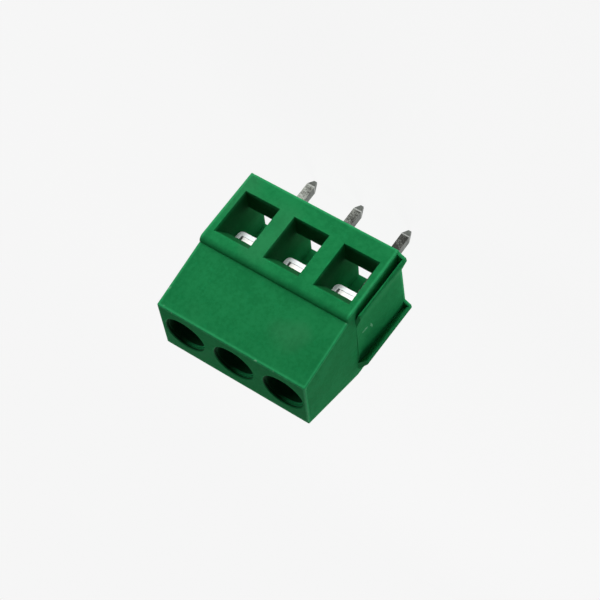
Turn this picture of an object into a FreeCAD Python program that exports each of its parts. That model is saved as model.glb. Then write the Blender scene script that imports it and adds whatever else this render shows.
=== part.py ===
import FreeCAD, Part
import math
import os

# Three-pole screw terminal block for a printed circuit board, in millimetres.
# The origin is the middle of the row of solder pins, on the board's surface. X runs along the row,
# the wires enter at the front, from -Y, and +Z points away from the board.
# Each pole is a contact that is soldered to the board, a cage that is drawn up under the contact's
# bar to clamp the wire, and the screw that draws it up. The block is shown with its cages closed.

# Row of poles
pole_count = 3
pitch = 5.08
block_gap = 0.10            # play between two blocks that are joined in one row

# Outline of the housing, seen from the side
housing_depth = 11.36
housing_height = 14.33
pin_setback = 6.68          # front face to the row of pins
lip_height = 7.90           # top of the rounded lip over the wire entries
lip_radius = 0.56
lip_groove = 0.08           # fine groove where the sloping face rises behind the lip
top_front_depth = 1.86      # front face to the front edge of the top face
top_back_depth = 8.37       # front face to the back edge of the top face
knee_height = 6.90          # where the sloping back meets the upright back
side_draft = 0.03           # how far each end leans in, from the lip to the top
edge_round = 0.10

# Wire entries
entry_width = 3.54
sill_height = 1.88
entry_height = 4.77         # sill to the lintel, at the front face
guide_drop = 1.60           # how far the guide slope comes down to the chamber
front_wall = 2.48

# Chambers that the cages slide in
chamber_width = 3.54
chamber_length = 5.17       # front to back, at the board
chamber_top = 10.20
ledge_height = 2.40         # the back wall steps forward above this, to back the contact

# Screwdriver holes
screw_setback = 5.00        # front face to the screws
bore_radius = 1.88
mouth_radius = 2.00
mouth_depth = 0.30
mouth_chamfer = 0.12
seat_thickness = 0.60       # web that the screw head sits on

# Dovetail rails on one end, and the grooves for the next block's rails on the other end
rail_height = 6.85
front_rail_tip = 0.62       # front face to the tip of the first rail
rail_spacing = 7.36         # tip to tip
rail_reach = 0.66           # how far a rail stands out of the surface behind it, at the board
rail_taper = 0.20           # how much less it stands out at its upper end
rail_lip = 0.42             # width of the undercut at its mouth
rail_undercut = 1.30        # depth of the undercut
rail_crest = 0.45           # tip to the crest
rail_length = 2.25          # tip to the foot of the rail's back slope
panel_height = 6.75
panel_start = 0.06          # how far the panel stands out at the board, level with the front face
panel_slope = 0.068         # how much further it stands out for each millimetre towards the back
panel_end = 0.08            # how far it still stands out at its upper edge
groove_play = 0.05

# Contacts
contact_thickness = 1.00
pin_width = 0.80
pin_length = 5.65           # below the board's surface
pin_taper = 0.75
pin_point = 0.30
shoulder_bottom = 3.00
bar_width = 2.10
bar_underside = 3.92
bar_front = 4.05            # front face to the free end of the bar
bend_radius = 0.15          # inside the bend
bend_round = 0.50           # outside the bend

# Clamp cages
cage_width = 3.32
cage_wall = 0.42
cage_length = 2.00          # front to back
cage_corner = 0.50
nut_thickness = 1.60
nut_length = 3.80
bar_gap = 0.02              # between the contact's bar and the closed cage
top_gap = 0.20              # between the closed cage and the top of its chamber

# Screws, M2.5 with a slotted head
shank_radius = 1.20
thread_play = 0.03
shank_play = 0.10
head_radius = 1.80
head_thickness = 1.25
head_chamfer = 0.20
head_gap = 0.05             # between the head and its seat
tip_gap = 0.05              # between the screw's tip and the contact's bar
tip_chamfer = 0.30
slot_width = 0.60
slot_depth = 0.70

body_width = pole_count * pitch - block_gap
half_width = body_width / 2
front_y = -pin_setback
back_y = front_y + housing_depth
screw_y = front_y + screw_setback
chamber_front = front_y + front_wall
chamber_back = chamber_front + chamber_length
bar_top = bar_underside + contact_thickness
contact_back = contact_thickness / 2
cage_bottom = bar_underside - bar_gap - cage_wall
cage_top = chamber_top - top_gap
seat_height = chamber_top + seat_thickness
back_rail_tip = front_rail_tip + rail_spacing
pole_places = [(index - (pole_count - 1) / 2) * pitch for index in range(pole_count)]

tolerance = 1e-6            # within which two places count as the same

vector = FreeCAD.Vector


def block(x_range, y_range, z_range):
    """A box between three pairs of limits."""
    low = vector(x_range[0], y_range[0], z_range[0])
    size = [pair[1] - pair[0] for pair in (x_range, y_range, z_range)]
    return Part.makeBox(size[0], size[1], size[2], low)


def centred(middle, width):
    """The two limits of a width about a middle."""
    return (middle - width / 2, middle + width / 2)


def polygon_face(points):
    """A flat face inside a closed line of points."""
    return Part.Face(Part.makePolygon(points + points[:1]))


def side_prism(outline, x_range):
    """Extrude an outline of (y, z) points along the row."""
    face = polygon_face([vector(x_range[0], y, z) for y, z in outline])
    return face.extrude(vector(x_range[1] - x_range[0], 0, 0))


def tapered_prism(outline, upper_outline, height):
    """A solid from an outline of (x, y) points on the board to another one above it."""
    def ring(points, z):
        corners = [vector(x, y, z) for x, y in points]
        return Part.makePolygon(corners + corners[:1])

    return Part.makeLoft([ring(outline, 0), ring(upper_outline, height)], True, True)


def upright_cylinder(radius, x, y, z_range):
    return Part.makeCylinder(radius, z_range[1] - z_range[0], vector(x, y, z_range[0]))


def housing_section():
    """The side outline of the housing, with its rounded lip, as a face at the -X end."""
    def at(setback, z):
        return vector(-half_width, front_y + setback, z)

    lip_side = at(0, lip_height - lip_radius)
    lip_crown = at(lip_radius, lip_height)
    reach = lip_radius * (1 - math.sqrt(0.5))
    lip_middle = at(reach, lip_height - reach)
    corners = [
        lip_crown,
        at(lip_radius + lip_groove, lip_height - lip_groove),
        at(top_front_depth, housing_height),
        at(top_back_depth, housing_height),
        at(housing_depth, knee_height),
        at(housing_depth, 0),
        at(0, 0),
        lip_side,
    ]
    edges = [Part.Arc(lip_side, lip_middle, lip_crown).toShape()]
    edges += [Part.LineSegment(a, b).toShape() for a, b in zip(corners, corners[1:])]
    return Part.Face(Part.Wire(edges))


def rounded_shell():
    """The housing's outer form, with its ends drafted and its outer edges rounded."""
    shell = housing_section().extrude(vector(body_width, 0, 0)).cut(end_drafts())
    outer = [edge for edge in shell.Edges if not in_lip(edge) and not on_crease(edge)]
    return shell.makeFillet(edge_round, outer)


def in_lip(edge):
    """Whether an edge along the row belongs to the lip, which is round already."""
    along_row = edge.BoundBox.XLength > edge_round
    centre = edge.BoundBox.Center
    groove_y = front_y + lip_radius + lip_groove
    return along_row and 0 < centre.z < housing_height and centre.y < groove_y + edge_round


def on_crease(edge):
    """Whether an edge runs across an end where its draft starts."""
    box = edge.BoundBox
    level = box.ZMax - box.ZMin < tolerance and abs(box.ZMax - lip_height) < tolerance
    return level and box.YLength > edge_round


def end_drafts():
    """The thin wedges that leave the upper part of each end leaning in."""
    wedges = []
    for side in (-1, 1):
        outline = [
            (side * half_width, lip_height),
            (side * (half_width + edge_round), lip_height),
            (side * (half_width + edge_round), housing_height),
            (side * (half_width - side_draft), housing_height),
        ]
        points = [vector(x, front_y, z) for x, z in outline]
        wedges.append(polygon_face(points).extrude(vector(0, housing_depth, 0)))
    return wedges


def wire_entry(x):
    """The square wire entry of one pole, with the guide slope under its lintel."""
    lintel = sill_height + entry_height
    outline = [
        (front_y, sill_height),
        (chamber_front, sill_height),
        (chamber_front, lintel - guide_drop),
        (front_y, lintel),
    ]
    return side_prism(outline, centred(x, entry_width))


def chamber(x):
    """The space that one pole's cage slides in, open towards the board."""
    outline = [
        (chamber_front, 0),
        (chamber_back, 0),
        (chamber_back, ledge_height),
        (contact_back, ledge_height),
        (contact_back, chamber_top),
        (chamber_front, chamber_top),
    ]
    return side_prism(outline, centred(x, chamber_width))


def screwdriver_hole(x):
    """The stepped hole over one screw, down to the chamber."""
    mouth_floor = housing_height - mouth_depth
    shank_hole = upright_cylinder(shank_radius + shank_play, x, screw_y, (chamber_top, seat_height))
    bore = upright_cylinder(bore_radius, x, screw_y, (seat_height, mouth_floor))
    mouth = upright_cylinder(mouth_radius, x, screw_y, (mouth_floor, housing_height))
    rim = Part.makeCone(
        mouth_radius, mouth_radius + mouth_chamfer, mouth_chamfer,
        vector(x, screw_y, housing_height - mouth_chamfer),
    )
    return shank_hole.multiFuse([bore, mouth, rim])


def panel_reach(setback):
    """How far the panel stands out at a distance behind the front face: more until the second rail."""
    return panel_start + panel_slope * min(setback, back_rail_tip)


def rail_outline(tip, play, base, foot_reach):
    """One undercut rail as (reach, setback) points, grown by the play all round."""
    foot = tip + rail_length
    neck = tip + rail_undercut
    return [
        (-play, neck + play / 2),
        (base + rail_lip - play, tip - play),
        (base + rail_reach - rail_lip / 4, tip - play),
        (base + rail_reach + play, tip + rail_crest),
        (foot_reach + play, foot + play),
        (-play, foot + play),
    ]


def rail(tip, play, place):
    """One rail, which stands out a little less at its upper end."""
    base = panel_reach(tip)
    lower = rail_outline(tip, play, base, panel_reach(tip + rail_length))
    upper = rail_outline(tip, play, base - rail_taper, panel_end)
    return tapered_prism(place(lower), place(upper), rail_height + play)


def panel_outline(play, reach_at):
    """The panel between the two rails as (reach, setback) points."""
    start = front_rail_tip + rail_length
    end = back_rail_tip + rail_length
    return [
        (-play, start - play),
        (reach_at(start) + play, start - play),
        (reach_at(back_rail_tip) + play, back_rail_tip),
        (reach_at(end) + play, end + play),
        (-play, end + play),
    ]


def panel(play, place):
    """The panel, which slopes out towards the back and runs out towards its upper edge."""
    lower = panel_outline(play, panel_reach)
    upper = panel_outline(play, lambda setback: panel_end)
    return tapered_prism(place(lower), place(upper), panel_height + play)


def end_features(end_x, play):
    """The rails and the panel that stand out towards -X from a place along the row."""
    def place(outline):
        return [(end_x - reach, front_y + setback) for reach, setback in outline]

    rails = [rail(tip, play, place) for tip in (front_rail_tip, back_rail_tip)]
    return panel(play, place).multiFuse(rails)


def housing():
    """The moulded housing: outer form, chambers, entries, screw holes, rails and grooves."""
    cuts = []
    for x in pole_places:
        cuts += [wire_entry(x), chamber(x), screwdriver_hole(x)]
    next_block = half_width + block_gap
    cuts.append(end_features(next_block, groove_play))
    body = rounded_shell().cut(cuts)
    return body.fuse(end_features(-half_width, 0)).removeSplitter()


def solder_pin(x):
    """The pin below the shoulders, tapered on four sides to a small flat point."""
    taper_top = pin_taper - pin_length
    shank = block(centred(x, pin_width), centred(0, contact_thickness), (taper_top, shoulder_bottom))

    def square(width, depth, z):
        corners = [(-1, -1), (1, -1), (1, 1), (-1, 1)]
        points = [vector(x + i * width / 2, j * depth / 2, z) for i, j in corners]
        return Part.makePolygon(points + points[:1])

    taper = Part.makeLoft([square(pin_point, pin_point, -pin_length),
                           square(pin_width, contact_thickness, taper_top)], True, True)
    return shank.fuse(taper)


def contact(x):
    """One pole's contact: the solder pin, its shoulders in the chamber, and the bent bar."""
    shoulders = block(
        centred(x, chamber_width), (-contact_back, contact_back), (shoulder_bottom, bar_top),
    )
    bar = block(
        centred(x, bar_width), (front_y + bar_front, -contact_back), (bar_underside, bar_top),
    )
    bend = bend_fill(x)
    strip = shoulders.multiFuse([bar, bend, solder_pin(x)]).removeSplitter()
    return strip.makeFillet(bend_round, outer_bend_edges(strip))


def bend_fill(x):
    """The metal in the inner corner of the bend."""
    corner_y = -contact_back
    foot = block(
        centred(x, bar_width), (corner_y - bend_radius, corner_y),
        (bar_underside - bend_radius, bar_underside),
    )
    hollow = Part.makeCylinder(
        bend_radius, bar_width, vector(x - bar_width / 2, corner_y - bend_radius,
                                       bar_underside - bend_radius), vector(1, 0, 0),
    )
    return foot.cut(hollow)


def outer_bend_edges(strip):
    """The top back edge of the strip, on the outside of the bend."""
    found = []
    for edge in strip.Edges:
        centre = edge.BoundBox.Center
        along_row = edge.BoundBox.XLength > bar_width
        if along_row and abs(centre.z - bar_top) < tolerance and abs(centre.y - contact_back) < tolerance:
            found.append(edge)
    return found


def clamp_cage(x):
    """One pole's cage: a nut over the contact's bar, and a loop that carries the wire under it."""
    nut_bottom = cage_top - nut_thickness
    loop_depth = centred(screw_y, cage_length)
    loop = block(centred(x, cage_width), loop_depth, (cage_bottom, cage_top))
    corners = [edge for edge in loop.Edges if is_bottom_corner(edge)]
    loop = loop.makeFillet(cage_corner, corners)
    nut = block(centred(x, cage_width), centred(screw_y, nut_length), (nut_bottom, cage_top))
    window = block(
        centred(x, cage_width - 2 * cage_wall), loop_depth, (cage_bottom + cage_wall, nut_bottom),
    )
    thread = upright_cylinder(shank_radius + thread_play, x, screw_y, (nut_bottom, cage_top))
    return loop.cut(window).fuse(nut).cut(thread).removeSplitter()


def is_bottom_corner(edge):
    """Whether an edge is one of the two lower edges that run from front to back."""
    box = edge.BoundBox
    return box.YLength > cage_corner and abs(box.ZMax - cage_bottom) < tolerance


def clamp_screw(x):
    """One pole's screw, turned about the vertical, with a slot across its head."""
    tip = bar_top + tip_gap
    head_bottom = seat_height + head_gap
    head_top = head_bottom + head_thickness
    outline = [
        (0, tip),
        (shank_radius - tip_chamfer, tip),
        (shank_radius, tip + tip_chamfer),
        (shank_radius, head_bottom),
        (head_radius, head_bottom),
        (head_radius, head_top - head_chamfer),
        (head_radius - head_chamfer, head_top),
        (0, head_top),
    ]
    face = polygon_face([vector(x + radius, screw_y, z) for radius, z in outline])
    turned = face.revolve(vector(x, screw_y, 0), vector(0, 0, 1), 360)
    slot = block(
        centred(x, 2 * head_radius), centred(screw_y, slot_width), (head_top - slot_depth, head_top),
    )
    return turned.cut(slot)


def save(name, shape):
    """Write one node, and say how large it is."""
    shape.exportStep("parts/" + name + ".step")
    print(name, "solids", len(shape.Solids), "valid", shape.isValid(), "volume", round(shape.Volume, 3))


os.makedirs("parts", exist_ok=True)
save("housing", housing())
for number, place in enumerate(pole_places, start=1):
    save("contact_" + str(number), contact(place))
    save("clamp_cage_" + str(number), clamp_cage(place))
    save("clamp_screw_" + str(number), clamp_screw(place))
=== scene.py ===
# %% [markdown]
# # A three-pole screw terminal block
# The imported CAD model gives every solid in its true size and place. This script dresses it: it
# sets up the camera, gives each surface its finish, makes the few forms that are too fine for
# the CAD model, and lays out the floor and the lamps. Blender works in metres here, and MM turns
# millimetres into metres.

# %% Load the frame
import math

import bpy
from mathutils import Matrix, Vector


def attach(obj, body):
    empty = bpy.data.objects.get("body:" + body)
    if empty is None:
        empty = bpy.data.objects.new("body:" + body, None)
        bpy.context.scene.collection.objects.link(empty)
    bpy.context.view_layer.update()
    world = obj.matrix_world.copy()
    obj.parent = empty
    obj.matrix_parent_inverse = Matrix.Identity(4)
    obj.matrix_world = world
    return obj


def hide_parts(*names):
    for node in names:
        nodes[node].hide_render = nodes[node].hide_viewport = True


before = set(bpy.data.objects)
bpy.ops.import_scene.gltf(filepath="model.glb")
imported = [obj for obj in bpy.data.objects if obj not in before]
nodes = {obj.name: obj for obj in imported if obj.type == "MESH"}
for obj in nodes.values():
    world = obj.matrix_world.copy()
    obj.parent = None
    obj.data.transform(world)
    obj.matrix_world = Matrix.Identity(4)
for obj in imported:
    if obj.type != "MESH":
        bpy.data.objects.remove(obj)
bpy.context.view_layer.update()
MM = 0.001

# %% [markdown]
# ## The camera
# The block was photographed from its front left, with the camera turned nearly upside down, so
# that the wire entries face up in the picture. A camera is an object whose -Z axis looks into
# the scene. It could be aimed at a point and rolled afterwards, but its three axes are written
# here as they were measured, which is more exact.

# %% Camera
camera_right = Vector((-0.82568776, 0.0642913, -0.56045192))
camera_down = Vector((-0.45975945, 0.49900543, 0.7345848))
camera_ahead = Vector((0.32689596, 0.86421074, -0.38246414))
camera_place = Vector((-44.348, -115.092, 56.793)) * MM

camera_data = bpy.data.cameras.new("camera")
camera_data.sensor_width = 36
camera_data.lens = 91.42
camera_data.shift_x = 0.0026
camera_data.shift_y = 0.0072
camera_data.clip_start = 0.005
camera_data.clip_end = 20
camera = bpy.data.objects.new("camera", camera_data)
bpy.context.scene.collection.objects.link(camera)
turn = Matrix((camera_right, -camera_down, -camera_ahead)).transposed()
camera.matrix_world = Matrix.Translation(camera_place) @ turn.to_4x4()
bpy.context.scene.camera = camera
bpy.context.scene.view_settings.view_transform = "Standard"
print("camera", [round(v / MM, 1) for v in camera_place])

# %% [markdown]
# ## Shader maths that reads like maths
# Every finish below is a small graph of nodes. Adding each node by hand hides the idea behind
# it, so one class wraps a socket and turns Python's operators into Math nodes, and maths() makes
# those that have no operator. Under both is one function, which adds any node with its settings
# and its inputs.

# %% Nodes and sockets
def add_node(tree, kind, settings=None, inputs=None):
    """Add a node: its settings first, then the values or links of its sockets."""
    node = tree.nodes.new(kind)
    for name, value in (settings or {}).items():
        setattr(node, name, value)
    pairs = inputs.items() if isinstance(inputs, dict) else enumerate(inputs or ())
    for name, value in pairs:
        if isinstance(value, Socket):
            tree.links.new(value.output, node.inputs[name])
        else:
            node.inputs[name].default_value = value
    return Socket(tree, node.outputs[0]) if node.outputs else node


def maths(operation, *values):
    """A Math node on numbers and sockets, of which at least one is a socket."""
    tree = next(value.tree for value in values if isinstance(value, Socket))
    return add_node(tree, "ShaderNodeMath", {"operation": operation}, values)


class Socket:
    """A node's output, on which + - * / add Math nodes."""

    def __init__(self, tree, output):
        self.tree = tree
        self.output = output

    def __add__(self, other):
        return maths("ADD", self, other)

    def __radd__(self, other):
        return maths("ADD", other, self)

    def __sub__(self, other):
        return maths("SUBTRACT", self, other)

    def __rsub__(self, other):
        return maths("SUBTRACT", other, self)

    def __mul__(self, other):
        return maths("MULTIPLY", self, other)

    def __rmul__(self, other):
        return maths("MULTIPLY", other, self)

    def __truediv__(self, other):
        return maths("DIVIDE", self, other)

    def __getitem__(self, name):
        return Socket(self.tree, self.output.node.outputs[name])


print("Math nodes come from + - * / and from maths()")

# %% [markdown]
# A material starts as an empty graph. The nodes that every finish uses get a short name each:
# a noise, a mix of two colours, a soft step from one value to another, and a bump. They all read
# Object coordinates, so a pattern stays on its piece when the piece moves.

# %% A material's graph
MIX_A, MIX_B, MIX_COLOUR = 6, 7, 2      # the colour sockets of a Mix node


class Finish:
    """A material with an empty graph, and a short name for each kind of node it uses."""

    def __init__(self, name):
        self.material = bpy.data.materials.new(name)
        self.material.use_nodes = True
        self.tree = self.material.node_tree
        self.tree.nodes.clear()
        self.place = add_node(self.tree, "ShaderNodeTexCoord")["Object"]

    def add(self, kind, settings=None, inputs=None):
        return add_node(self.tree, kind, settings, inputs)

    def millimetres(self):
        """The three object coordinates as separate values in millimetres."""
        split = self.add("ShaderNodeSeparateXYZ", None, (self.place,))
        return split["X"] / MM, split["Y"] / MM, split["Z"] / MM

    def stretched(self, scale):
        """The object's coordinates, scaled by a different amount along each axis."""
        inputs = {"Vector": self.place, "Scale": scale}
        return self.add("ShaderNodeMapping", {"vector_type": "POINT"}, inputs)

    def noise(self, scale, detail=3.0, rough=0.5, vector=None):
        """Noise with scale cells in a metre, or in one unit of the vector."""
        place = vector or self.place
        inputs = {"Vector": place, "Scale": scale, "Detail": detail, "Roughness": rough}
        return self.add("ShaderNodeTexNoise", None, inputs)

    def mix(self, amount, a, b):
        inputs = {"Factor": amount, MIX_A: a, MIX_B: b}
        node = self.add("ShaderNodeMix", {"data_type": "RGBA"}, inputs)
        return node[MIX_COLOUR]

    def smooth(self, value, low, high, to_low=0.0, to_high=1.0):
        """Value eased from one range to another. Low may be above high, for a falling step."""
        reach = {"Value": value, "From Min": low, "From Max": high}
        reach.update({"To Min": to_low, "To Max": to_high})
        return self.add("ShaderNodeMapRange", {"interpolation_type": "SMOOTHSTEP"}, reach)

    def bump(self, height, strength, distance):
        inputs = {"Height": height, "Strength": strength, "Distance": distance}
        return self.add("ShaderNodeBump", None, inputs)

    def surface(self, **inputs):
        named = {name.replace("_", " "): value for name, value in inputs.items()}
        shader = self.add("ShaderNodeBsdfPrincipled", None, named)
        self.add("ShaderNodeOutputMaterial", None, {"Surface": shader})
        return self.material


print("materials before the first finish", len(bpy.data.materials))

# %% [markdown]
# ## Where the housing's outer edges are
# Rounded outer edges catch a line of light, so they look paler than the faces. That highlight is
# painted into the colour here. A shader finds the edges without a texture: each outer face is a
# plane, and a point near two of these planes at once is near an edge. Each plane below is a normal
# that points out and a point on it, in millimetres.

# %% Edge mask
PITCH = 5.08            # from one pole to the next
END = 7.57              # half the block's width, at its plain ends
FRONT, BACK = -6.68, 4.68
TOP = 14.33
LIP_TOP = 7.90          # the top of the rounded lip over the wire entries
BACK_SLOPE_START = 6.9  # the height at which the back begins to slope
FULL = 0.2              # the share of its reach over which a mask is at its full 1
OUTER_PLANES = (
    ((0, 0, -1), (0, 0, 0)),
    ((0, 0, 1), (0, 0, TOP)),
    ((0, -1, 0), (0, FRONT, 0)),
    ((0, 1, 0), (0, BACK, 0)),
    ((0, 0.928, 0.373), (0, BACK, BACK_SLOPE_START)),
)
SLOPE_PLANE = ((0, -0.983, 0.184), (0, -6.04, 7.82))


def nearness(finish, axes, plane, reach):
    """1 on a plane, falling to 0 at a distance of reach inside it."""
    normal, point = plane
    level = sum(n * v for n, v in zip(normal, point))
    out = None
    for part, value in zip(axes, normal):
        if value:
            out = part * value if out is None else out + part * value
    return finish.smooth(out, level - reach, level - FULL * reach)


def edge_mask(finish, axes, reach):
    """1 along the outer edges of the housing, 0 on its faces and inside it."""
    x, _, z = axes
    near = finish.smooth(maths("ABSOLUTE", x), END - reach, END - FULL * reach)
    for plane in OUTER_PLANES:
        near = near + nearness(finish, axes, plane, reach)
    above_lip = finish.smooth(z, LIP_TOP - 0.05, LIP_TOP + 0.05)
    near = near + nearness(finish, axes, SLOPE_PLANE, reach) * above_lip
    return finish.smooth(near, 1.0, 2.0)


print("outer planes", len(OUTER_PLANES) + 1, "and two ends")

# %% [markdown]
# ## Chambers and screwdriver holes
# Light hardly reaches the chambers behind the wire entries, and even less of it the deep round
# holes over the screws, which look black. The lamps alone leave them too light, because a few
# lamps can't stand for a whole dark room. So shade is painted into the plastic's colour there:
# most just behind the front wall, less at the back of a chamber. A masked colour is simple, and
# it stays right when the block is seen from another side. The step in each hole's mouth gets a
# painted highlight on the side where light would catch it.

# %% Masks for the openings
HOLE_Y = -1.68          # the row of holes, from front to back
HOLE_RADIUS = 1.88
MOUTH_RADIUS = 2.00     # the wider part of each hole
STEP = TOP - 0.30       # where a hole's mouth steps in
# painted shade: the chambers are painted darkest just behind the front wall, lighter further back
NEAR_DARK, NEAR_Y = 0.70, -2.5      # how dark a chamber is, from its front to here
FAR_DARK, FAR_Y = 0.25, 0.0         # and from here to its back


def chamber_shade_mask(finish, axes):
    """How much shade is painted in the chambers and wire entries, and 0 on the outer faces."""
    x, y, z = axes
    wide = maths("ABSOLUTE", x)
    deep = finish.smooth(y, FRONT + 0.08, FRONT + 0.68) * finish.smooth(y, BACK - 0.18, BACK - 0.58)
    deep = deep * (NEAR_DARK - finish.smooth(y, NEAR_Y, FAR_Y) * (NEAR_DARK - FAR_DARK))
    level = finish.smooth(z, 0.1, 0.5) * finish.smooth(z, LIP_TOP + 0.1, LIP_TOP - 0.4)
    return deep * finish.smooth(wide, END - 0.27, END - 0.47) * level


def from_hole(axes):
    """A point's place across the nearest hole, and its distance from that hole's axis."""
    x, y, _ = axes
    across = maths("WRAP", x, PITCH / 2, -PITCH / 2)
    along = y - HOLE_Y
    return across, maths("SQRT", across * across + along * along)


def hole_shade_mask(finish, axes):
    """1 in the screwdriver holes, where shade is painted."""
    _, radius = from_hole(axes)
    z = axes[2]
    level = finish.smooth(z, 8.2, 8.6) * finish.smooth(z, TOP - 0.02, TOP - 0.07)
    return finish.smooth(radius, MOUTH_RADIUS + 0.06, MOUTH_RADIUS + 0.02) * level


def step_highlight(finish, axes):
    """1 on the side of the step in each hole's mouth that catches light, for a painted highlight.
    """
    across, radius = from_hole(axes)
    z = axes[2]
    ring = finish.smooth(radius, HOLE_RADIUS - 0.08, HOLE_RADIUS)
    ring = ring * finish.smooth(radius, MOUTH_RADIUS + 0.04, MOUTH_RADIUS - 0.02)
    ring = ring * finish.smooth(across, 0.9, -0.5)
    level = finish.smooth(z, STEP - 0.23, STEP - 0.11) * finish.smooth(z, STEP + 0.19, STEP + 0.09)
    return ring * level


print("holes at x", [round(pole * PITCH, 2) for pole in (-1, 0, 1)], "y", HOLE_Y)

# %% [markdown]
# ## Scuffs
# The end with the rails has two short pale marks, where something hard has slid over it. Each is
# a narrow ellipse with soft edges, broken up by noise so that it looks scraped and not drawn.

# %% Scuffs
SCUFFS = (              # middle along Y and Z, half length, half width, angle in radians
    ((-1.80, 5.70), 0.52, 0.18, 1.75),
    ((-1.30, 4.80), 0.56, 0.15, -0.27),
)
SCRAPES = 5200          # cells of noise in a metre


def scuff(finish, axes, middle, half_length, half_width, angle):
    """A soft streak on an end face."""
    y = axes[1] - middle[0]
    z = axes[2] - middle[1]
    along = (y * math.cos(angle) + z * math.sin(angle)) / half_length
    across = (z * math.cos(angle) - y * math.sin(angle)) / half_width
    distance = along * along + across * across
    return finish.smooth(distance, 1.0, 0.2)


def scuffed_end(finish, axes):
    """The pale marks, on the end with the rails and nowhere else."""
    marks = scuff(finish, axes, *SCUFFS[0]) + scuff(finish, axes, *SCUFFS[1])
    on_end = finish.smooth(axes[0], -END + 0.17, -END + 0.07)
    return marks * on_end * finish.smooth(finish.noise(SCRAPES, 2.0), 0.34, 0.50)


print("scuffs", len(SCUFFS))

# %% [markdown]
# ## Green moulded plastic
# The housing is one moulding in green polyamide, with the fine even grain that a spark-eroded
# mould leaves. One colour alone would look like paint. The finish has a slow drift of colour
# where the melt cooled, a fine mottle, a few hazy places, small nicks along the edges, and a
# grain that breaks up the gloss. Noise at five scales gives all of that without a picture. On
# top come painted light and shade: a painted highlight along the outer edges, painted shade in
# the chambers and the screwdriver holes, and a painted highlight on the step in each hole's
# mouth. The tints are laid over each other like thin coats, each where its mask is above zero.

# %% Moulded green
DEEP_GREEN, FRESH_GREEN = (0.008, 0.184, 0.054, 1), (0.013, 0.228, 0.070, 1)
# a painted highlight along the rounded outer edges
EDGE_HIGHLIGHT_GREEN = (0.030, 0.370, 0.130, 1)
SCRAPED_GREEN = (0.20, 0.50, 0.30, 1)
HAZY_GREEN = (0.070, 0.230, 0.115, 1)
# painted shade in the chambers and in the screwdriver holes
CHAMBER_SHADE_GREEN = (0.002, 0.060, 0.012, 1)
HOLE_SHADE_GREEN = (0.002, 0.012, 0.004, 1)
# a painted highlight on the lit side of each hole's step
STEP_HIGHLIGHT_GREEN = (0.030, 0.400, 0.140, 1)
DRIFT, MOTTLE, GRAIN = 380, 2600, 12000     # cells of noise in a metre
NICKS, HAZE = 1700, 170
EDGE_REACH = 0.36
SMOOTHEST, ROUGHEST, EDGE_POLISH = 0.66, 0.80, 0.12
GRAIN_DEPTH = 0.004 * MM


def moulded_green():
    finish = Finish("moulded_green")
    axes = finish.millimetres()
    drift = finish.noise(DRIFT, 2.0)
    mottle = finish.noise(MOTTLE, 3.0, 0.65)
    grain = finish.noise(GRAIN, 2.0, 0.6)
    shade = finish.smooth(drift * 0.45 + mottle * 0.55, 0.36, 0.64)
    colour = finish.mix(shade, DEEP_GREEN, FRESH_GREEN)

    edges = edge_mask(finish, axes, EDGE_REACH)
    nicks = edges * finish.smooth(finish.noise(NICKS, 1.0), 0.69, 0.77)
    scraped = maths("MAXIMUM", nicks, scuffed_end(finish, axes))
    haze = finish.smooth(finish.noise(HAZE, 1.0), 0.54, 0.68)
    # The edge and step tints are painted highlights, the chamber and hole tints painted shade;
    # nicks, scuffs and haze are the plastic's own marks.
    coats = (
        (edges * (0.45 + mottle * 0.4), EDGE_HIGHLIGHT_GREEN),
        (scraped * 0.7, SCRAPED_GREEN),
        (haze * 0.16, HAZY_GREEN),
        (chamber_shade_mask(finish, axes), CHAMBER_SHADE_GREEN),
        (hole_shade_mask(finish, axes) * 0.85, HOLE_SHADE_GREEN),
        (step_highlight(finish, axes) * 0.8, STEP_HIGHLIGHT_GREEN),
    )
    for amount, tint in coats:
        colour = finish.mix(amount, colour, tint)

    satin = finish.smooth(grain, 0.3, 0.7, SMOOTHEST, ROUGHEST)
    return finish.surface(
        Base_Color=colour,
        Roughness=satin - edges * EDGE_POLISH,
        Specular_IOR_Level=0.03,
        Normal=finish.bump(grain + mottle * 2.0, 0.12, GRAIN_DEPTH),
    )


green = moulded_green()
print(green.name, "nodes", len(green.node_tree.nodes))

# %% [markdown]
# The CAD model comes with a plain material on each piece. The finish takes its place. A piece
# with several material slots would need it in each of them, so the helper goes through them all.

# %% Give the housing its finish
def finish_node(name, material):
    """Give a CAD node its finish in every material slot."""
    mesh = nodes[name].data
    if not mesh.materials:
        mesh.materials.append(material)
    for index in range(len(mesh.materials)):
        mesh.materials[index] = material


finish_node("housing", green)
print("housing slots", len(nodes["housing"].data.materials))

# %% [markdown]
# ## The moulding with soft edges
# No moulding has perfectly sharp edges, and a rounded edge catches a line of light. The CAD solid
# has the roundings of the outer edges. Its wire entries and its rails are sharp, and so are the
# chambers and the grooves where they open at the board. A CAD node's own mesh stays as it is, so
# a copy stands for it. The copy's loose triangles are merged first, because an edge can only be
# bevelled where two faces share it.

# %% Copy the housing's mesh
def merged_copy(name, new_name, gap):
    """A copy of a CAD node with its loose triangles joined into one closed mesh."""
    bpy.ops.object.select_all(action="DESELECT")
    piece = nodes[name].copy()
    piece.data = nodes[name].data.copy()
    piece.name = new_name
    piece.parent = None
    piece.matrix_world = Matrix.Identity(4)
    bpy.context.scene.collection.objects.link(piece)
    piece.select_set(True)
    bpy.context.view_layer.objects.active = piece
    bpy.ops.object.mode_set(mode="EDIT")
    bpy.ops.mesh.select_all(action="SELECT")
    bpy.ops.mesh.remove_doubles(threshold=gap * MM)
    bpy.ops.object.mode_set(mode="OBJECT")
    bpy.ops.mesh.customdata_custom_splitnormals_clear()
    return piece


moulding = merged_copy("housing", "housing_moulding", 0.002)
print(moulding.name, "corners", len(moulding.data.vertices), "faces", len(moulding.data.polygons))

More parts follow.
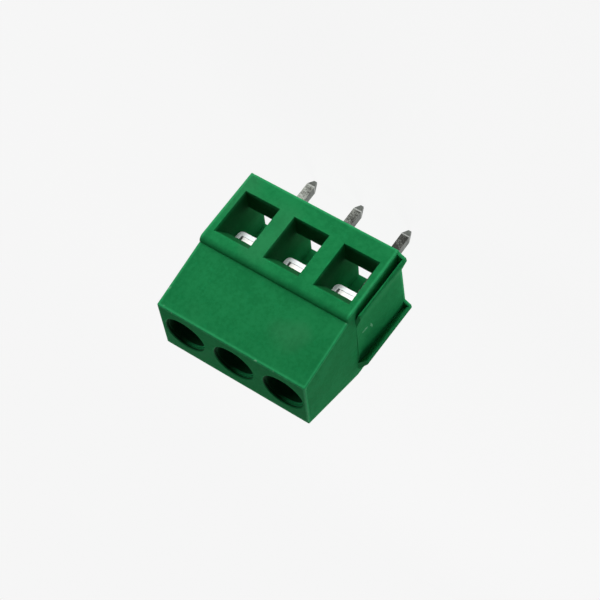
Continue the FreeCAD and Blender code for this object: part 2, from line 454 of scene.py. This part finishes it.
# %% [markdown]
# The back slope of the first rail runs out into the panel and leaves a sliver too thin to see,
# which would still catch light as a pale line. Its upper corners lie close together, so they are
# picked by their place and merged.

# %% Close a sliver
RAIL_FOOT_Y = -3.81


def select_corners(piece, wanted):
    """Select the corners for which wanted(x, y, z) is true, in millimetres, and nothing else."""
    mesh = piece.data
    for part in (*mesh.vertices, *mesh.edges, *mesh.polygons):
        part.select = False
    for vertex in mesh.vertices:
        vertex.select = wanted(*(vertex.co / MM))


def close_sliver(piece, foot_y, gap):
    """Merge the upper corners at a rail's foot that are nearer to each other than the gap."""
    select_corners(piece, lambda x, y, z: x < -7.2 and abs(y - foot_y) < 0.02 and 6.6 < z < 7.0)
    bpy.ops.object.mode_set(mode="EDIT")
    bpy.ops.mesh.select_mode(type="VERT")
    bpy.ops.mesh.remove_doubles(threshold=gap * MM)
    bpy.ops.object.mode_set(mode="OBJECT")


close_sliver(moulding, RAIL_FOOT_Y, 0.12)
print("corners after closing the sliver", len(moulding.data.vertices))

# %% [markdown]
# Edit mode can select sharp edges by angle, and a small test on the place of an edge's two ends
# keeps the group that is wanted. Each group is bevelled by itself, so that it gets its own width.
# A Bevel modifier would round the outer edges a second time.

# %% Round the edges
SHARP = math.radians(38)
ENTRY_FROM, ENTRY_TO = 0.5, 7.2     # heights between which the wire entries lie
RAIL_EDGE, BOARD_EDGE = 3, 0.8      # edges that are shorter than this are left sharp
ROUNDED_FRONT = -6.4                # in front of this the underside is rounded already


def select_edges(piece, wanted):
    """Of the selected edges, keep those for which wanted(one end, other end) is true."""
    mesh = piece.data
    for part in (*mesh.vertices, *mesh.polygons):
        part.select = False
    count = 0
    for edge in mesh.edges:
        ends = [mesh.vertices[index].co / MM for index in edge.vertices]
        edge.select = edge.select and wanted(*ends)
        count += edge.select
    return count


def round_edges(piece, wanted, width, segments):
    """Bevel the sharp edges that wanted picks, by a width in millimetres."""
    bpy.ops.object.mode_set(mode="EDIT")
    bpy.ops.mesh.select_mode(type="EDGE")
    bpy.ops.mesh.select_all(action="DESELECT")
    bpy.ops.mesh.edges_select_sharp(sharpness=SHARP)
    bpy.ops.object.mode_set(mode="OBJECT")
    count = select_edges(piece, wanted)
    bpy.ops.object.mode_set(mode="EDIT")
    bpy.ops.mesh.bevel(offset=width * MM, segments=segments, affect="EDGES", clamp_overlap=False)
    bpy.ops.object.mode_set(mode="OBJECT")
    print(piece.name, "edges rounded", count, "by", width)


def at_entry(a, b):
    """The edges round the three wire entries, in the front face."""
    across = max(abs(a.x), abs(b.x)) < END - 0.3
    in_front = max(a.y, b.y) < FRONT + 0.08
    return across and in_front and ENTRY_FROM < min(a.z, b.z) and max(a.z, b.z) < ENTRY_TO


def along_rail(a, b):
    """The long upright edges of the two rails."""
    return max(a.x, b.x) < -END and abs(a.z - b.z) > RAIL_EDGE


def at_board(a, b):
    """The sharp edges of the underside, round the chambers, the grooves and the rails."""
    at_zero = max(a.z, b.z) < 0.001
    return at_zero and (a - b).length > BOARD_EDGE and min(a.y, b.y) > ROUNDED_FRONT


round_edges(moulding, at_entry, width=0.07, segments=2)
round_edges(moulding, along_rail, width=0.07, segments=2)
round_edges(moulding, at_board, width=0.05, segments=2)

# %% [markdown]
# Smooth shading makes the narrow roundings look round, but it would also bend the light on the
# large flat faces beside them. A Weighted Normal modifier lets the large faces decide, so that
# they stay flat. After that the piece takes the CAD node's place.

# %% Shade the moulding
SMOOTH_BELOW = math.radians(32)


def flat_faces_stay_flat(piece):
    """Smooth the narrow roundings without bending the shade of the large faces beside them."""
    bpy.ops.object.shade_smooth_by_angle(angle=SMOOTH_BELOW)
    weighted = piece.modifiers.new("normals", "WEIGHTED_NORMAL")
    weighted.keep_sharp = True
    weighted.mode = "FACE_AREA_WITH_ANGLE"
    bpy.ops.object.modifier_apply(modifier="normals")


def belongs_to_housing(piece):
    """The piece moves with the block."""
    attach(piece, "block")


flat_faces_stay_flat(moulding)
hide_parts("housing")
belongs_to_housing(moulding)
print(moulding.name, "faces", len(moulding.data.polygons))

# %% [markdown]
# ## Webs at the ends of the rails
# Each undercut rail is closed at the board by a small web with a rounded corner. It could be
# extruded from the rail, but it is simpler to start from a block at its size and place. Its outer
# back corner is drawn in behind the rail's slope, and its inner front corner is drawn out towards
# the block's front. Then the outer front corner is bevelled wide, and all other edges a little.

# %% First web
WEB_LOW, WEB_HIGH = (-8.24, -6.05, 0.01), (-7.50, -4.80, 0.36)
CORNER_FOUND = 0.01     # how near a corner has to be to the place that is asked for


def web_block(name, low, high):
    """A block between two corners, in millimetres."""
    size = [(b - a) * MM for a, b in zip(low, high)]
    middle = [(a + b) / 2 * MM for a, b in zip(low, high)]
    bpy.ops.object.select_all(action="DESELECT")
    bpy.ops.mesh.primitive_cube_add(size=1, location=middle, scale=size)
    piece = bpy.context.active_object
    bpy.ops.object.transform_apply(location=True, rotation=True, scale=True)
    piece.name = name
    return piece


def move_corner(piece, corner, by):
    """Move the two corners above one place in the plan, in millimetres."""
    at_x, at_y = corner
    select_corners(
        piece, lambda x, y, z: abs(x - at_x) < CORNER_FOUND and abs(y - at_y) < CORNER_FOUND
    )
    bpy.ops.object.mode_set(mode="EDIT")
    bpy.ops.mesh.select_mode(type="VERT")
    bpy.ops.transform.translate(value=[part * MM for part in (*by, 0)])
    bpy.ops.object.mode_set(mode="OBJECT")


def outer_corner(a, b):
    in_x = max(a.x, b.x) < WEB_LOW[0] + CORNER_FOUND
    return in_x and max(a.y, b.y) < WEB_LOW[1] + CORNER_FOUND


def any_edge(a, b):
    return True


first_web = web_block("rail_web_1", WEB_LOW, WEB_HIGH)
move_corner(first_web, (WEB_LOW[0], WEB_HIGH[1]), (0.22, 0))
move_corner(first_web, (WEB_HIGH[0], WEB_LOW[1]), (0, -0.48))
round_edges(first_web, outer_corner, width=0.17, segments=4)
round_edges(first_web, any_edge, width=0.03, segments=2)
flat_faces_stay_flat(first_web)
first_web.data.materials.append(green)
print(first_web.name, "size", [round(side / MM, 2) for side in first_web.dimensions])

# %% [markdown]
# The second rail is a repeat of the first, further back and a little further out. Its web is a
# copy with a mesh of its own, moved in the mesh so that the object stays at the origin.

# %% Second web
SECOND_RAIL = Vector((-0.50, 7.36, 0))

second_web = first_web.copy()
second_web.data = first_web.data.copy()
second_web.name = "rail_web_2"
bpy.context.scene.collection.objects.link(second_web)
second_web.data.transform(Matrix.Translation(SECOND_RAIL * MM))
for web in (first_web, second_web):
    belongs_to_housing(web)
    print(web.name, "faces", len(web.data.polygons))

# %% [markdown]
# ## Plated metal
# The cages are nickel plated and the screws zinc plated. Each plating is the same idea with
# other numbers: a metal, streaks along the way it was drawn, and dull clouds where it has been
# handled. So one function makes both.

# %% Nickel and zinc
NICKEL_LIGHT, NICKEL_DULL = (0.93, 0.965, 0.975, 1), (0.85, 0.88, 0.88, 1)
ZINC_LIGHT, ZINC_DULL = (0.74, 0.75, 0.77, 1), (0.48, 0.49, 0.51, 1)
NICKEL_STREAKS, ZINC_STREAKS = (1500, 9000, 9000), (6000, 6000, 2500)
CLOUDS = 1500
STREAK_DEPTH = 0.001 * MM


def plated(name, light, dull, roughness, streaks):
    """A plated metal, with streaks along the axis that has the smallest scale."""
    finish = Finish(name)
    streak = finish.noise(1.0, 3.0, 0.6, finish.stretched(streaks))
    cloud = finish.noise(CLOUDS, 3.0)
    shade = finish.smooth(streak * 0.6 + cloud * 0.4, 0.35, 0.68)
    return finish.surface(
        Base_Color=finish.mix(shade, dull, light),
        Metallic=1.0,
        Roughness=finish.smooth(cloud, 0.3, 0.7, roughness - 0.05, roughness + 0.05),
        Normal=finish.bump(streak, 0.1, STREAK_DEPTH),
    )


nickel = plated("nickel_plate", NICKEL_LIGHT, NICKEL_DULL, 0.54, NICKEL_STREAKS)
zinc = plated("zinc_plate", ZINC_LIGHT, ZINC_DULL, 0.30, ZINC_STREAKS)
print("platings", nickel.name, zinc.name)

# %% [markdown]
# ## Tinned contacts
# The contacts' bars stay bright inside the block, and the pins outside have gone dull: grey and
# finely speckled on the sheared front face, cleaner on the sides. The masks are worked out from
# the pin's own size. The front faces grow darker along the row, towards the pin nearest to the
# rails. A pale band, a painted highlight, lies where the taper of the point begins.

# %% Tinned strip
BRIGHT_ABOVE, DULL_BELOW = 3.0, 2.4     # heights
PIN_FRONT = -0.50
TAPER_AT = -4.89                       # the height at which the pin begins to taper
ROW_END = 6.5                           # beyond the outer pins, along the row
TIN_STREAKS, TIN_CLOUDS = (16000, 12000, 5200), 1300
TIN_DEPTH = 0.002 * MM
BAR_LIGHT, BAR_DULL = (0.95, 0.95, 0.92, 1), (0.84, 0.83, 0.79, 1)
SIDE_LIGHT, SIDE_DULL = (0.186, 0.200, 0.182, 1), (0.072, 0.079, 0.070, 1)
FACE_LIGHT, FACE_DULL = (0.39, 0.41, 0.37, 1), (0.036, 0.036, 0.033, 1)
# a painted highlight where the taper of the point begins
TAPER_HIGHLIGHT_TIN = (0.66, 0.68, 0.65, 1)


def tinned_strip():
    finish = Finish("tinned")
    x, y, z = finish.millimetres()
    streak = finish.noise(1.0, 4.0, 0.7, finish.stretched(TIN_STREAKS))
    cloud = finish.noise(TIN_CLOUDS, 3.0)
    outside = finish.smooth(z, BRIGHT_ABOVE, DULL_BELOW)
    front = finish.smooth(y, PIN_FRONT + 0.06, PIN_FRONT + 0.02) * outside
    row = finish.smooth(x, ROW_END, -ROW_END)

    bar = finish.mix(finish.smooth(cloud, 0.35, 0.65), BAR_DULL, BAR_LIGHT)
    blend = finish.smooth(cloud * 0.5 + streak * 0.5, 0.38, 0.62)
    side = finish.mix(blend, SIDE_DULL, SIDE_LIGHT)
    speckle = finish.smooth(streak * 0.75 + cloud * 0.25 - row * 0.14 - 0.02, 0.34, 0.60)
    face = finish.mix(speckle, FACE_DULL, FACE_LIGHT)
    colour = finish.mix(front, finish.mix(outside, bar, side), face)

    # A painted highlight: a pale band where the taper of the point begins.
    below = finish.smooth(z, TAPER_AT - 0.11, TAPER_AT - 0.03)
    above = finish.smooth(z, TAPER_AT + 0.11, TAPER_AT + 0.03)
    colour = finish.mix(below * above * 0.45, colour, TAPER_HIGHLIGHT_TIN)
    return finish.surface(
        Base_Color=colour,
        Metallic=1.0,
        Roughness=0.45 - outside * 0.05,
        Normal=finish.bump(streak, 0.2, TIN_DEPTH),
    )


tinned = tinned_strip()
for number in (1, 2, 3):
    finish_node(f"contact_{number}", tinned)
    finish_node(f"clamp_cage_{number}", nickel)
    finish_node(f"clamp_screw_{number}", zinc)
    print("pole", number, "finished")

# %% [markdown]
# ## The floor
# The background is one even pale grey. The floor is a plain diffuse sheet, and Light Path lets
# the camera, and what reflects, see it at an even level, so that no extra light has to be
# thrown on the block to make it pale. Near the block a small share of the lit sheet is kept, for
# the block's shadow. That share is a little darker than the even level, and LIFT makes up for it.

# %% Floor
BACKGROUND = 0.921
KEPT_SHADOW = 0.06
LIFT = 1.042
FLOOR_Z = -5.75         # just below the points of the pins
FLOOR_SIZE = 6          # metres
SHADOW_NEAR, SHADOW_FAR = 40, 90        # the kept share is full within 40 mm, gone beyond 90


def grey(level):
    return (level, level, level, 1)


def background_rays(tree):
    """1 for the rays that see the background: the camera's own, reflected and refracted ones."""
    path = add_node(tree, "ShaderNodeLightPath")
    seen = maths("MAXIMUM", path["Is Camera Ray"], path["Is Glossy Ray"])
    return maths("MAXIMUM", seen, path["Is Transmission Ray"])


def pale_sheet(name):
    finish = Finish(name)
    x, y, _ = finish.millimetres()
    near_block = finish.smooth(x * x + y * y, SHADOW_FAR ** 2, SHADOW_NEAR ** 2)
    even = finish.mix(near_block, grey(BACKGROUND), grey(BACKGROUND * LIFT))
    glow = finish.add("ShaderNodeEmission", None, {"Color": even, "Strength": 1.0})
    sheet = finish.add("ShaderNodeBsdfDiffuse", None, {"Color": grey(BACKGROUND)})
    share = background_rays(finish.tree) * (1 - near_block * KEPT_SHADOW)
    shader = finish.add("ShaderNodeMixShader", None, {0: share, 1: sheet, 2: glow})
    finish.add("ShaderNodeOutputMaterial", None, {"Surface": shader})
    return finish.material


bpy.ops.object.select_all(action="DESELECT")
bpy.ops.mesh.primitive_plane_add(size=FLOOR_SIZE, location=(0, 0, FLOOR_Z * MM))
floor = bpy.context.active_object
floor.name = "floor"
floor.data.materials.append(pale_sheet("floor_sheet"))
print("floor at", FLOOR_Z, "mm, background", BACKGROUND)

# %% [markdown]
# ## The world round the block
# Above the floor's horizon the camera sees the world, so it has the floor's grey, and bright
# metal has that grey to reflect. It could light the block as well, but light from all sides
# would wash out the depth of the openings, so as a lamp it is nearly dark.

# %% World
WORLD_LIGHT = 0.02

world = bpy.data.worlds.new("studio")
bpy.context.scene.world = world
world.use_nodes = True
tree = world.node_tree
tree.nodes.clear()
dim = add_node(tree, "ShaderNodeBackground", None, {"Color": grey(1.0), "Strength": WORLD_LIGHT})
plain = add_node(tree, "ShaderNodeBackground", None, {"Color": grey(BACKGROUND), "Strength": 1.0})
shader = add_node(tree, "ShaderNodeMixShader", None, {0: background_rays(tree), 1: dim, 2: plain})
add_node(tree, "ShaderNodeOutputWorld", None, {"Surface": shader})
print("world", world.name, "light", WORLD_LIGHT)

# %% [markdown]
# ## Soft studio lamps
# The photograph shows soft light: the front and the slope are bright, the top is darker, and no
# shadow has a hard edge. Each lamp is a wide rectangle. The front lamp is the strongest and far
# off, nearly straight on, so that it reaches into the wire entries. The small lamps at the floor
# stand for the light that a real pale floor would throw back up, and the one under the block is
# hidden from reflections, so that the pins don't mirror it.

# %% Lamps
LAMPS = (               # name, place, target and size in millimetres, watts
    ("front_lamp", (55, -300, -2), (0, 0, 3), (60, 6), 0.40),
    ("floor_lamp", (20, -27, -5.68), (20, -27, 20), (60, 28), 0.007),
    ("under_lamp", (0, -2, -5.68), (0, -2, 20), (30, 12), 0.0022),
    ("side_lamp", (-170, 20, 14), (-7, 0, 5), (120, 38), 0.046),
    ("left_lamp", (-100, -250, 10), (-4, -6, 4), (50, 20), 0.05),
    ("right_lamp", (170, -40, 95), (0, 0, 10), (110, 50), 0.09),
    ("back_lamp", (-60, 170, 80), (0, 0, 10), (110, 50), 0.195),
)


def soft_lamp(name, place, target, size, watts):
    """An area lamp turned towards a point, and not seen by the camera."""
    data = bpy.data.lights.new(name, "AREA")
    data.shape = "RECTANGLE"
    data.size = size[0] * MM
    data.size_y = size[1] * MM
    data.energy = watts
    lamp = bpy.data.objects.new(name, data)
    bpy.context.scene.collection.objects.link(lamp)
    start = Vector(place) * MM
    lamp.location = start
    lamp.rotation_mode = "QUATERNION"
    lamp.rotation_quaternion = (Vector(target) * MM - start).to_track_quat("-Z", "Y")
    lamp.visible_camera = False
    print(name, watts, "W")


for lamp_row in LAMPS:
    soft_lamp(*lamp_row)
bpy.data.objects["under_lamp"].visible_glossy = False
